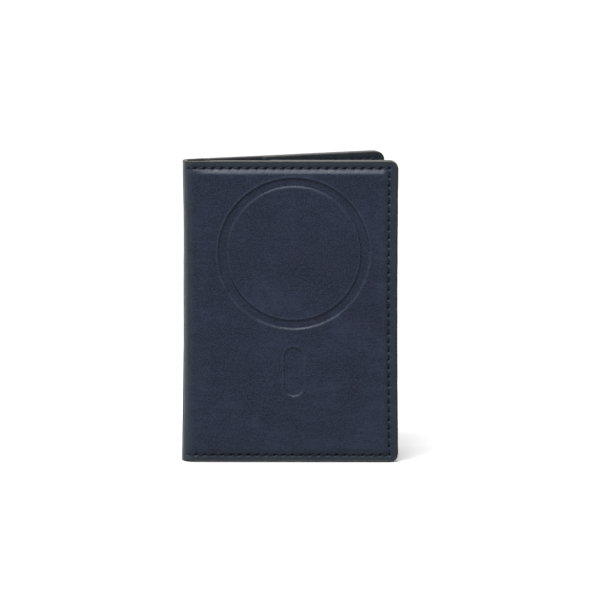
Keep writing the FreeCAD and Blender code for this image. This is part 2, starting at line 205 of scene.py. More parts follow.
def everywhere(u, z):
    return np.ones_like(u, bool)


def turn(x, y, centre, angle):
    """Points turned about a centre in their plane."""
    cos, sin = np.cos(angle), np.sin(angle)
    dx, dy = x - centre[0], y - centre[1]
    return centre[0] + dx * cos - dy * sin, centre[1] + dx * sin + dy * cos


def place(side, u, z, out):
    """Points of a cover as it stands: along the leather, up, and out of the border's face."""
    u, z, out = (np.asarray(a, float) for a in (u, z, out))
    arch = 1.0 - (2.0 * z / HEIGHT - 1.0) ** 2 - FOOT_FLARE * (1.0 - z / HEIGHT) ** 2
    u = u - EDGE_BOW * arch * smoothstep(u / U_FREE)
    phi = np.clip(-u / BEND_RADIUS, 0.0, math.pi / 2)
    past = np.maximum(-u - BEND_LENGTH, 0.0)
    spine_share = smoothstep(phi / (math.pi / 2))
    x = BEND_X + np.maximum(u, 0.0) - (BEND_RADIUS + out) * np.sin(phi)
    x = x + (SPINE_TUCK + SPINE_BOW * arch + SPINE_LEAN * z / HEIGHT) * spine_share
    y = BORDER_Y + BEND_RADIUS - (BEND_RADIUS + out) * np.cos(phi) + past
    dip_share = spine_share
    if side == BACK:
        dip_share = 1.0 - BACK_DIP_LOST * smoothstep(u / U_FREE)
    z = z - SPINE_DIP * dip_share * z / HEIGHT
    if side == FRONT:
        x, y = turn(x, y, FRONT_FOLD, FOLD_OPEN * spine_share)
    else:
        x, y = turn(x, 2.0 * MID_Y - y, BACK_FOLD, FOLD_OPEN * (1.0 - spine_share))
        x, y = turn(x, y, FRONT_FOLD, FOLD_OPEN)
    return np.stack(np.broadcast_arrays(x, y, z), axis=-1) * MM


def texture_point(side, u, z):
    """Flat coordinates of the leather in decimetres, unbroken across the spine."""
    along = np.asarray(u, float)
    if side == BACK:
        along = 2.0 * U_SPINE - along
    return np.stack(np.broadcast_arrays(along, np.asarray(z, float)), axis=-1) / MM_PER_DM


# ---------------------------------------------------------------- mesh helpers


def build(name, side, shells):
    """One mesh object from closed shells, each (vertices, faces, flat texture points)."""
    vertices, faces, uvs = [], [], []
    for shell_vertices, shell_faces, shell_uvs in shells:
        offset = sum(len(group) for group in vertices)
        vertices.append(shell_vertices)
        uvs.append(shell_uvs)
        for face in shell_faces:
            turned = face if side == FRONT else face[::-1]
            faces.append([offset + i for i in turned])
    mesh = bpy.data.meshes.new(name)
    mesh.from_pydata(np.vstack(vertices).tolist(), [], faces)
    layer = mesh.uv_layers.new(name="flat")
    corner_vertex = np.zeros(len(mesh.loops), np.int32)
    mesh.loops.foreach_get("vertex_index", corner_vertex)
    layer.data.foreach_set("uv", np.vstack(uvs).astype(np.float32)[corner_vertex].ravel())
    mesh.polygons.foreach_set("use_smooth", [True] * len(mesh.polygons))
    mesh.update()
    obj = bpy.data.objects.new(name, mesh)
    bpy.context.scene.collection.objects.link(obj)
    return obj


def triangulate(points):
    """Counter-clockwise triangles of the points' convex outline."""
    flat = [Vector(p) for p in points]
    _, _, faces, origins, _, _ = delaunay_2d_cdt(flat, [], [], 0, MERGE_DISTANCE)
    source = [entry[0] for entry in origins]
    triangles = []
    for face in faces:
        a, b, c = (source[i] for i in face)
        (ax, ay), (bx, by), (cx, cy) = points[a], points[b], points[c]
        area = (bx - ax) * (cy - ay) - (by - ay) * (cx - ax)
        if abs(area) > SLIVER:
            triangles.append((a, b, c) if area > 0 else (a, c, b))
    return triangles


def spread(start, end, step):
    """Points from start towards end, without the end itself."""
    start, end = np.array(start, float), np.array(end, float)
    count = max(1, round(np.linalg.norm(end - start) / step))
    return [tuple(start + (end - start) * i / count) for i in range(count)]


def border_path(inset, left, step, right=U_FREE, low=0.0, high=HEIGHT, radius=CORNER_RADIUS):
    """Points along the lower, free and upper sides, from left to left, at an inset from them."""
    turn_radius = max(radius - inset, 0.0)
    points = []
    lower_end = (right - inset - turn_radius, low + inset)
    upper_end = (right - inset - turn_radius, high - inset)
    points += spread((left, low + inset), lower_end, step)
    for middle, first in (
        ((lower_end[0], low + inset + turn_radius), -math.pi / 2),
        ((upper_end[0], high - inset - turn_radius), 0.0),
    ):
        count = max(1, round(turn_radius * math.pi / 2 / step))
        for i in range(count if turn_radius > 0 else 0):
            angle = first + math.pi / 2 * i / count
            points.append(
                (
                    middle[0] + turn_radius * math.cos(angle),
                    middle[1] + turn_radius * math.sin(angle),
                )
            )
        if first < 0:
            side_start = (right - inset, low + inset + turn_radius)
            side_end = (right - inset, high - inset - turn_radius)
            points += spread(side_start, side_end, step)
    points += spread(upper_end, (left, high - inset), step)
    points.append((left, high - inset))
    return points


def outline(inset, left, step, **sides):
    """The border path closed by the straight left side, counter-clockwise."""
    path = border_path(inset, left, step, **sides)
    return path + spread(path[-1], path[0], step)[1:]


def hex_fill(left, right, low, high, step, keep):
    """Evenly spread points where keep(u, z) holds."""
    rise = step * math.sqrt(3) / 2
    rows = int((high - low) / rise)
    points = []
    for row in range(rows + 1):
        z = low + row * rise
        shift = step / 2 if row % 2 else 0.0
        us = np.arange(left + shift, right, step)
        zs = np.full_like(us, z)
        wanted = keep(us, zs)
        points += list(zip(us[wanted], zs[wanted]))
    return points


def layer_shell(side, edge, outer_fill, inner_fill, outer, inner):
    """A closed sheet between two height functions of (u, z), with a wall along its edge."""
    edge_count = len(edge)
    outer_points = [tuple(map(float, p)) for p in [*edge, *outer_fill]]
    inner_points = [tuple(map(float, p)) for p in [*edge, *inner_fill]]
    ou, oz = np.array(outer_points).T
    iu, iz = np.array(inner_points).T
    vertices = np.vstack([place(side, ou, oz, outer(ou, oz)), place(side, iu, iz, inner(iu, iz))])
    uvs = np.vstack([texture_point(side, ou, oz), texture_point(side, iu, iz)])
    offset = len(outer_points)
    faces = triangulate(outer_points)
    faces += [(c + offset, b + offset, a + offset) for a, b, c in triangulate(inner_points)]
    for i in range(edge_count):
        j = (i + 1) % edge_count
        faces += [(j, i, offset + i), (j, offset + i, offset + j)]
    return vertices, faces, uvs


# ---------------------------------------------------------------- the leather's relief


def waves(u, z, wavelength, seed):
    """Smooth seeded unevenness between about -1 and 1."""
    count = 9
    rng = np.random.default_rng(seed)
    total = np.zeros(np.broadcast(u, z).shape)
    for _ in range(count):
        heading = rng.uniform(0, math.pi)
        length = wavelength * rng.uniform(0.7, 1.6)
        phase = rng.uniform(0, 2 * math.pi)
        along = u * math.cos(heading) + z * math.sin(heading)
        total += np.sin(2 * math.pi * along / length + phase)
    return total / math.sqrt(count * 2)


def inside_box(u, z, right, low, high, radius):
    """Distance inside a box that is open to the left and has rounded right corners."""
    qu = u - (right - radius)
    qz = np.abs(z - (low + high) / 2) - ((high - low) / 2 - radius)
    outside = np.hypot(np.maximum(qu, 0), np.maximum(qz, 0))
    return radius - outside - np.minimum(np.maximum(qu, qz), 0)


def seam_runs():
    """The seam's straight stretches: start, end, stitches, first and last hole, slit length."""
    low_corner, high_corner = (U_SEAM, Z_SEAM), (U_SEAM, Z_SEAM_TOP)
    ends = (
        ((SEAM_START, Z_SEAM), low_corner),
        (low_corner, high_corner),
        (high_corner, (SEAM_START, Z_SEAM_TOP)),
    )
    runs = []
    skips = ((0, 1), (0, 0), (1, 0))
    for (start, end), (skip_first, skip_last), reach in zip(ends, skips, SLIT_REACH):
        count = round(math.dist(start, end) / STITCH_PITCH)
        holes = (skip_first, count - skip_last)
        runs.append((np.array(start), np.array(end), count, holes, reach))
    return runs


def near_seam(u, z):
    """For each run: offsets from the nearest slit along and across, how far past the run's ends,
    and the mark of that slit, 1 in its middle."""
    for start, end, count, holes, reach in seam_runs():
        length = math.dist(start, end)
        pitch = length / count
        heading = (end - start) / length
        s = (u - start[0]) * heading[0] + (z - start[1]) * heading[1]
        across = -(u - start[0]) * heading[1] + (z - start[1]) * heading[0]
        along = s - np.clip(np.round(s / pitch), *holes) * pitch
        beyond = np.maximum(np.maximum(-s, s - length), 0.0)
        slit, width = turn(along, across, (0.0, 0.0), -SLIT_ANGLE)
        yield along, across, beyond, bell(slit, reach) * bell(width, SLIT_WIDTH)


def slits(u, z):
    """The marks of all the slits together; they are also the mask for the painted shade in the
    slits.
    """
    return np.max([mark for *_, mark in near_seam(u, z)], axis=0)


def seam_relief(u, z):
    """How the thread and its holes draw the leather in."""
    relief = np.zeros(np.broadcast(u, z).shape)
    for along, across, beyond, mark in near_seam(u, z):
        relief -= CHANNEL_DEPTH * bell(across, CHANNEL_WIDTH) * bell(beyond, SEAM_FADE)
        relief -= SLIT_DEPTH * mark
        relief -= DIMPLE_DEPTH * bell(np.hypot(across, along), DIMPLE_WIDTH)
    return np.maximum(relief, -SEAM_DEEPEST)


def inside_seam(u, z, foot=0.0):
    """Distance inside the seam's U, less a margin."""
    return inside_box(u, z, U_SEAM - foot, Z_SEAM + foot, Z_SEAM_TOP - foot, PAD_CORNER)


def inside_outline(u, z):
    """Distance inside the cover's cut edge."""
    return inside_box(u, z, U_FREE, 0.0, HEIGHT, CORNER_RADIUS)


def pad_relief(u, z):
    """The padded middle: a straight slope from the seam that rolls off at the top, and a long
    rise from the spine."""
    inside = inside_seam(u, z, PAD_FOOT)
    roll_off = 0.8
    ramp = np.clip(inside / SHOULDER, 0.0, 2.0 - roll_off)
    shoulder = ramp - np.maximum(ramp - roll_off, 0.0) ** 2 / (4.0 * (1.0 - roll_off))
    from_spine = smoothstep((u + SPINE_RAMP_START) / SPINE_RAMP)
    return PAD_RISE * shoulder * from_spine * (inside > 0)


def border_relief(u, z):
    """The stitched border turns down a little to its cut edge."""
    return -EDGE_DROP * np.clip(1.0 - inside_outline(u, z) / EDGE_DROP_WIDTH, 0.0, 1.0) ** 2


def ring_distance(u, z):
    """Distance from the ring's centre."""
    return np.hypot(u - RING_U, z - RING_Z)


def bar_distance(u, z):
    """Distance from the bar's outline, negative inside."""
    return np.hypot(u - BAR_U, np.maximum(np.abs(z - BAR_Z) - BAR_REACH, 0.0)) - BAR_RADIUS


def marks_relief(u, z):
    """The ring and the bar, pressed in over the magnets."""
    r = ring_distance(u, z)
    sunk = smoothstep((RING_OUTER - r) / PRESS_WALL) * smoothstep((r - RING_INNER) / PRESS_WALL)
    bar = bar_distance(u, z)
    bar_sunk = smoothstep(-bar / PRESS_WALL)
    relief = -PRESS_DEPTH * (sunk + BAR_PRESS_SHARE * bar_sunk)
    relief += RING_LIP * bell(r - RING_OUTER - LIP_OFFSET, LIP_WIDTH)
    relief += RING_INNER_LIP * bell(r - RING_INNER + LIP_OFFSET, LIP_WIDTH)
    return relief + BAR_LIP * bell(bar - LIP_OFFSET, LIP_WIDTH)


def outer_relief(side):
    """The outer face's height over the border, as a function of (u, z)."""
    seed = 11 if side == FRONT else 23

    def relief(u, z):
        height = pad_relief(u, z) + border_relief(u, z) + seam_relief(u, z)
        soft = smoothstep(inside_seam(u, z) / 6.0)
        broad, small = waves(u, z, 34.0, seed), waves(u, z, 9.0, seed + 1)
        height += soft * (0.07 * broad + 0.02 * small)
        if side == FRONT:
            height += marks_relief(u, z)
        return height

    return relief


def inner_relief(u, z):
    """Underside of the outer leather: on the lining, and up over the board."""
    play, gap = 0.06, 0.01
    over_board = (
        (u > board_low[0] - BEND_X - play)
        & (u < board_high[0] - BEND_X + play)
        & (z > board_low[2] - play)
        & (z < board_high[2] + play)
    )
    return np.where(over_board, PAD_RISE - LEATHER + gap, -LEATHER + gap)


def rubbed_and_sheen(side, u, z):
    """Where handling has polished the leather: the pad's shoulder, the cut edge, the outside of the
    fold, and the lips of the pressed marks. The lighter colour given to these places is part real
    wear and part painted highlight on the raised ridges."""
    shoulder, cut_edge, fold, outer_lip, inner_lip, bar_lip = 0.3, 0.5, 0.5, 0.6, 0.4, 0.4
    from_spine = smoothstep((u + 2.0) / 5.0)
    wear_and_sheen = shoulder * bell(inside_seam(u, z) - 1.5, 0.8) * from_spine
    wear_and_sheen += cut_edge * bell(inside_outline(u, z), 0.9)
    wear_and_sheen += fold * smoothstep((-u - 0.5) / 3.0) * smoothstep((u - U_SPINE) / 4.0 + 0.4)
    if side == FRONT:
        r = ring_distance(u, z)
        wear_and_sheen += outer_lip * bell(r - RING_OUTER - LIP_OFFSET, LIP_WIDTH)
        wear_and_sheen += inner_lip * bell(r - RING_INNER + LIP_OFFSET, LIP_WIDTH)
        wear_and_sheen += bar_lip * bell(bar_distance(u, z) - 0.25, 0.35)
    return np.clip(wear_and_sheen, 0.0, 1.0)


def burnished(u, z):
    """The stitched border and the spine, greyed by burnishing and edge paint."""
    outside = 1.0 - smoothstep(inside_seam(u, z) / 1.2 + 0.5)
    near_edge = 1.0 - 0.5 * smoothstep(inside_outline(u, z) / 3.0)
    spine = smoothstep((1.5 - u) / 6.0)
    return np.clip(np.maximum(outside * near_edge, 0.9 * spine), 0.0, 1.0)


# ---------------------------------------------------------------- where the points go


def near_marks(u, z):
    """Inside the finely meshed bands round the ring and the bar."""
    r = ring_distance(u, z)
    return ((r > RING_INNER - 1.3) & (r < RING_OUTER + 1.6)) | (np.abs(bar_distance(u, z)) < 1.2)


def ring_points(step):
    """Circles, close together over the ring's two walls."""
    points = []
    inner_wall = np.arange(RING_INNER - 1.1, RING_INNER + 0.75, WALL_ROW)
    outer_wall = np.arange(RING_OUTER - 0.7, RING_OUTER + 1.4, WALL_ROW)
    between = np.linspace(RING_INNER + 1.0, RING_OUTER - 1.0, 3)
    for r in np.concatenate([inner_wall, outer_wall, between]):
        count = round(2 * math.pi * r / step)
        angles = 2 * math.pi * np.arange(count) / count
        points += list(zip(RING_U + r * np.cos(angles), RING_Z + r * np.sin(angles)))
    return points


def bar_points(step):
    """Outlines of the bar, close together over its wall."""
    points = []
    for offset in np.arange(-1.05, 1.05, WALL_ROW):
        r = BAR_RADIUS + offset
        count = round(math.pi * r / step)
        half_turn = math.pi * np.arange(count) / count
        for end, first in ((BAR_REACH, 0.0), (-BAR_REACH, math.pi)):
            angles = first + half_turn
            points += list(zip(BAR_U + r * np.cos(angles), BAR_Z + end + r * np.sin(angles)))
            x = BAR_U + r * math.cos(first + math.pi)
            points += spread((x, BAR_Z + end), (x, BAR_Z - end), step)
    return points


def border_points(first, step, gap, left, last=BORDER_DEPTH):
    """Rows of points that follow the seam, from just inside the edge to past the pad's slope."""
    points = []
    for inset in np.arange(first, last, gap):
        points += border_path(inset, left + 0.3, step)
    return points


def bend_points(step_u, step_z):
    """A grid over the fold, fine round the bend and coarse along it."""
    us = np.arange(U_SPINE + step_u, 1.1, step_u)
    zs = np.arange(BORDER_DEPTH + 0.4, HEIGHT - BORDER_DEPTH - 0.3, step_z)
    return [(u, z) for u in us for z in zs]


def middle_points(left, step, skip_marks=False):
    """Evenly spread points inside the border, but for the finely meshed marks if they are there."""
    low, high = BORDER_DEPTH + 0.4, HEIGHT - BORDER_DEPTH - 0.3

    def clear_of_marks(u, z):
        return ~near_marks(u, z)

    keep = clear_of_marks if skip_marks else everywhere
    return hex_fill(left, U_FREE - BORDER_DEPTH - 0.2, low, high, step, keep)


# ---------------------------------------------------------------- the pieces


def stack_depth(u):
    """How thick the stitched border is: leather and lining, then each pocket on top."""
    depth = LINED + (NOTE_DEPTHS[1] - LINED) * smoothstep((u - U_NOTE) / POCKET_STEP)
    return depth + (CARD_DEPTHS[1] - NOTE_DEPTHS[1]) * smoothstep((u - U_CARD) / POCKET_STEP)


def make_outer_leather(side):
    """The formed skin of one cover and half the spine, finest along the seam and over the marks."""
    edge = outline(PAINT_INSET, U_SPINE, 0.35)
    seam_first, seam_last = 1.9, 3.9
    fill = border_points(PAINT_INSET + 0.3, step=0.35, gap=0.3, left=U_SPINE, last=seam_first)
    fill += border_points(seam_first, step=0.2, gap=0.17, left=U_SPINE, last=seam_last)
    fill += border_points(seam_last, step=0.35, gap=0.25, left=U_SPINE)
    fill += bend_points(step_u=0.42, step_z=0.9)
    if side == FRONT:
        fill += ring_points(0.32) + bar_points(0.3)
    fill += middle_points(1.6, 0.85, skip_marks=side == FRONT)
    under = border_points(PAINT_INSET + 1.2, step=1.5, gap=1.5, left=U_SPINE)
    under += bend_points(step_u=0.6, step_z=3.0)
    board = dict(
        right=board_high[0] - BEND_X, low=board_low[2], high=board_high[2], radius=0.0
    )
    for inset in (-0.1, 0.02):
        under += outline(inset, board_low[0] - BEND_X + inset, 2.0, **board)
    under += middle_points(4.0, 4.0)
    shell = layer_shell(side, edge, fill, under, outer_relief(side), inner_relief)
    skin = build(f"{side}_leather", side, [shell])
    flat = np.array([*edge, *fill, *edge, *under], float)
    # This mask lightens the leather for wear and, on the pad's shoulder, the lips and the fold, as
    # painted highlight.
    wear_and_sheen = rubbed_and_sheen(side, flat[:, 0], flat[:, 1])
    burnish = burnished(flat[:, 0], flat[:, 1])
    # The slit marks become the mask that darkens the slits with painted shade.
    slit_shade_mask = slits(flat[:, 0], flat[:, 1])
    for attribute, values in (("wear_and_sheen", wear_and_sheen), ("burnish", burnish), ("slit", slit_shade_mask)):
        skin.data.attributes.new(attribute, "FLOAT", "POINT").data.foreach_set("value", values)
    return skin


def make_lining(side):
    """The lining of one cover and half the spine."""
    edge = outline(PAINT_INSET, U_SPINE, 0.8)
    fill = border_points(PAINT_INSET + 0.8, step=1.2, gap=0.8, left=U_SPINE)
    fill += bend_points(step_u=0.42, step_z=1.5)
    fill += middle_points(2.0, 2.0)

    def outer(u, z):
        return np.full_like(u, -LEATHER)

    def inner(u, z):
        return 0.03 * waves(u, z, 15.0, 31) - LINED

    shell = layer_shell(side, edge, fill, fill, outer, inner)
    return build(f"{side}_inner_lining", side, [shell])


def make_pocket(side, name, left, depths, seed):
    """A pocket sheet: a pressed line along its open edge, and the seam on its other three sides."""
    edge = outline(PAINT_INSET, left, 0.45)
    fill = border_points(PAINT_INSET + 0.35, step=0.45, gap=0.35, left=left, last=4.6)
    near_edge = np.concatenate([np.arange(0.12, 3.0, 0.2), np.arange(3.3, 6.0, 0.6)])
    low, high = 5.0, HEIGHT - 4.9
    zs = np.arange(low, high, 0.9)
    fill += [(left + offset, z) for offset in near_edge for z in zs]
    fill += hex_fill(left + 6.4, U_FREE - low, low, high, 1.3, everywhere)
    shallow, deep = depths

    def slack(u, z):
        """An empty pocket lies in towards the cover, most at the middle of its open edge."""
        reach = np.clip(inside_seam(u, z) / POCKET_REACH, 0, 1)
        uneven = 0.05 * waves(u, z, 22.0, seed) * smoothstep(4 * reach)
        return POCKET_SLACK * smoothstep(reach) + uneven

    def rounded(u):
        return POCKET_ROUND * np.clip(1.0 - (u - left) / POCKET_ROUND_WIDTH, 0, 1) ** 2

    def outer(u, z):
        return slack(u, z) - shallow - rounded(u)

    def inner(u, z):
        line = POCKET_LINE_DEPTH * bell(u - left - POCKET_LINE_INSET, POCKET_LINE_WIDTH)
        drawn_in = -0.55 * seam_relief(u, z)
        return slack(u, z) - deep + rounded(u) + line + drawn_in

    shell = layer_shell(side, edge, fill, fill, outer, inner)
    return build(f"{side}_{name}_sheet", side, [shell])


def make_filler(side, name, left, depths):
    """Three strips under a pocket sheet's seam: along the lower, upper and free sides."""
    far, low = U_FREE - PAINT_INSET, PAINT_INSET
    corner = CORNER_RADIUS - PAINT_INSET
    lower = [(left, low)]
    for angle in np.linspace(-math.pi / 2, 0.0, 7):
        u, z = corner * math.cos(angle), corner * math.sin(angle)
        lower.append((far - corner + u, low + corner + z))
    lower += [(far, FILLER_WIDTH), (left, FILLER_WIDTH)]
    upper = [(u, HEIGHT - z) for u, z in reversed(lower)]
    near, start = far - FILLER_WIDTH, FILLER_WIDTH + FILLER_JOINT
    upright = [(near, start), (far, start), (far, HEIGHT - start), (near, HEIGHT - start)]

    def outer(u, z):
        return np.full_like(u, -depths[0])

    def inner(u, z):
        return np.full_like(u, -depths[1])

    shells = []
    for corners in (lower, upper, upright):
        edge = []
        for here, there in zip(corners, corners[1:] + corners[:1]):
            edge += spread(here, there, 1.0)
        shells.append(layer_shell(side, edge, [], [], outer, inner))
    return build(f"{side}_{name}_strips", side, shells)


def tube_faces(stations, around):
    """Faces of a closed tube whose points go round it station by station."""
    faces = []
    for i in range(stations - 1):
        for j in range(around):
            a, b = i * around + j, i * around + (j + 1) % around
            faces.append((a, b, b + around, a + around))
    faces.append(tuple(range(around))[::-1])
    faces.append(tuple(range((stations - 1) * around, stations * around)))
    return faces


def thread_shell(side, start, end, level, away):
    """One stitch: a short two-ply thread that rises out of one hole and dives into the next."""
    length = math.dist(start, end)
    heading = (end - start) / length
    t = np.linspace(0.0, 1.0, THREAD_STATIONS)[:, None]
    theta = 2 * math.pi * np.arange(THREAD_AROUND)[None, :] / THREAD_AROUND
    rise = level + away * (THREAD_ARCH * np.sin(math.pi * t) ** 0.6 - THREAD_SUNK)
    slant = THREAD_SLANT * (2.0 * t - 1.0)
    ply = 1.0 + THREAD_PLY * np.cos(2.0 * (theta - 2 * math.pi * t * length / THREAD_LAY))
    taper = 1.0 - THREAD_TAPER + THREAD_TAPER * np.sin(math.pi * t) ** 0.5
    across = slant + THREAD_ACROSS * taper * ply * np.cos(theta)
    out = rise + away * THREAD_OUT * taper * ply * np.sin(theta)
    u = start[0] + heading[0] * length * t - heading[1] * across
    z = start[1] + heading[1] * length * t + heading[0] * across
    vertices = place(side, u.ravel(), z.ravel(), out.ravel())
    uvs = np.stack(np.broadcast_arrays(t * length, theta), -1).reshape(-1, 2) / MM_PER_DM
    faces = tube_faces(THREAD_STATIONS, THREAD_AROUND)
    if away < 0:
        faces = [face[::-1] for face in faces]
    return vertices, faces, uvs


def make_stitching(side):
    """Every stitch of the seam, on the outer face and on the inner one."""
    shells = []
    for start, end, count, *_ in seam_runs():
        step = (end - start) / count
        trim = THREAD_TRIM * (end - start) / math.dist(start, end)
        for i in range(count):
            first, last = start + step * i + trim, start + step * (i + 1) - trim
            middle = (first + last) / 2
            outer_level = -0.10
            inner_level = -stack_depth(middle[0]) + 0.06
            shells.append(thread_shell(side, first, last, outer_level, 1.0))
            shells.append(thread_shell(side, first, last, inner_level, -1.0))
    return build(f"{side}_seam_thread", side, shells)


def paint_section(depth):
    """The painted edge in section: how far out past the outline, and how far out of the face."""
    r = PAINT_RADIUS
    half = list(PAINT_LAP)
    for angle in np.linspace(math.pi / 2, 0.0, 7):
        half.append((-r + r * math.cos(angle), r * math.sin(angle) - r))
    other = [(across, -depth - out) for across, out in reversed(half)]
    return np.array([*half, (0.02, -depth * 0.5), *other])


def make_edge_paint(side):
    """Smooth paint over the cut edges of the whole stack."""
    path = np.array(border_path(0.0, U_SPINE, 0.5))
    tangent = np.gradient(path, axis=0)
    tangent /= np.linalg.norm(tangent, axis=1)[:, None]
    outward = np.stack([tangent[:, 1], -tangent[:, 0]], axis=1)
    sections = np.array([paint_section(stack_depth(u)) for u, _ in path])
    ripple = 0.03 * waves(path[:, 0] * 1.3, path[:, 1], 7.0, 47)[:, None]
    reach = sections[:, :, 0] + ripple * smoothstep(1.5 + 2.0 * sections[:, :, 0])
    u = path[:, :1] + outward[:, :1] * reach
    z = path[:, 1:] + outward[:, 1:] * reach
    out = sections[:, :, 1]
    count, around = u.shape
    vertices = place(side, u.ravel(), z.ravel(), out.ravel())
    distance = np.concatenate([[0], np.cumsum(np.linalg.norm(np.diff(path, axis=0), axis=1))])
    uvs = np.stack(np.broadcast_arrays(distance[:, None], out), -1).reshape(-1, 2) / MM_PER_DM
    return build(f"{side}_edge_paint", side, [(vertices, tube_faces(count, around), uvs)])


# ---------------------------------------------------------------- finishes


def colour(red, green, blue):
    """Linear colour from 0 to 255 screen values."""
    channels = []
    for value in (red, green, blue):
        v = value / 255
        channels.append(v / 12.92 if v <= 0.04045 else ((v + 0.055) / 1.055) ** 2.4)
    return (*channels, 1.0)


GREEN_TINT, VIOLET_TINT = colour(32, 49, 60), colour(42, 37, 60)
# The second of these colours lightens rubbed places: part real wear, part painted highlight on the
# raised ridges.
# The third of these colours is painted shade for the awl slits.
BURNISHED, WORN_AND_SHEEN, SLIT_PAINTED_SHADE = colour(43, 52, 56), colour(58, 73, 86), colour(5, 11, 18)


class Finish:
    """A material and short calls for the nodes used here."""

    def __init__(self, name, **settings):
        self.material = bpy.data.materials.new(name)
        self.material.use_nodes = True
        self.tree = self.material.node_tree
        self.shader = self.tree.nodes["Principled BSDF"]
        for key, value in settings.items():
            self.shader.inputs[key.replace("_", " ")].default_value = value

    def node(self, kind, inputs=(), **settings):
        made = self.tree.nodes.new(kind)
        for key, value in settings.items():
            setattr(made, key, value)
        for key, value in dict(inputs).items():
            if isinstance(value, bpy.types.NodeSocket):
                self.tree.links.new(value, made.inputs[key])
            else:
                made.inputs[key].default_value = value
        return made

    def flat(self, stretch=(1.0, 1.0), shift=0.0, turn=0.0):
        """The unrolled surface, in decimetres."""
        uv = self.node("ShaderNodeUVMap", uv_map="flat").outputs["UV"]
        inputs = {"Vector": uv, "Scale": (*stretch, 1.0), "Location": (shift, shift * 0.7, 0.0)}
        inputs["Rotation"] = (0.0, 0.0, math.radians(turn))
        return self.node("ShaderNodeMapping", inputs).outputs["Vector"]

    def solid(self, stretch=(1.0, 1.0, 1.0)):
        """Object space, in metres."""
        point = self.node("ShaderNodeTexCoord").outputs["Object"]
        inputs = {"Vector": point, "Scale": stretch}
        return self.node("ShaderNodeMapping", inputs).outputs["Vector"]

    def noise(self, point, scale, detail=3.0, rough=0.55, distortion=0.0):
        inputs = {"Vector": point, "Scale": scale, "Detail": detail}
        inputs |= {"Roughness": rough, "Distortion": distortion}
        return self.node("ShaderNodeTexNoise", inputs).outputs["Fac"]

    def cells(self, point, scale, feature="F1"):
        inputs = {"Vector": point, "Scale": scale}
        return self.node("ShaderNodeTexVoronoi", inputs, feature=feature).outputs["Distance"]

    def bands(self, point, scale, direction):
        inputs = {"Vector": point, "Scale": scale, "Distortion": 0.0}
        settings = {"bands_direction": direction, "wave_profile": "SIN"}
        return self.node("ShaderNodeTexWave", inputs, **settings).outputs["Fac"]

    def spread(self, value, low, high, to_low=0.0, to_high=1.0):
        inputs = {"Value": value, "From Min": low, "From Max": high}
        inputs |= {"To Min": to_low, "To Max": to_high}
        return self.node("ShaderNodeMapRange", inputs, clamp=True).outputs["Result"]

    def maths(self, operation, a, b):
        return self.node("ShaderNodeMath", {0: a, 1: b}, operation=operation).outputs[0]

    def mix(self, share, a, b):
        inputs = {"Factor": share, 6: a, 7: b}
        return self.node("ShaderNodeMix", inputs, data_type="RGBA").outputs[2]

    def bump(self, height, depth, below=None):
        inputs = {"Height": height, "Strength": 1.0, "Distance": depth * MM}
        if below is not None:
            inputs["Normal"] = below
        return self.node("ShaderNodeBump", inputs).outputs["Normal"]

    def connect(self, **sockets):
        for key, value in sockets.items():
            self.tree.links.new(value, self.shader.inputs[key.replace("_", " ")])
        return self.material


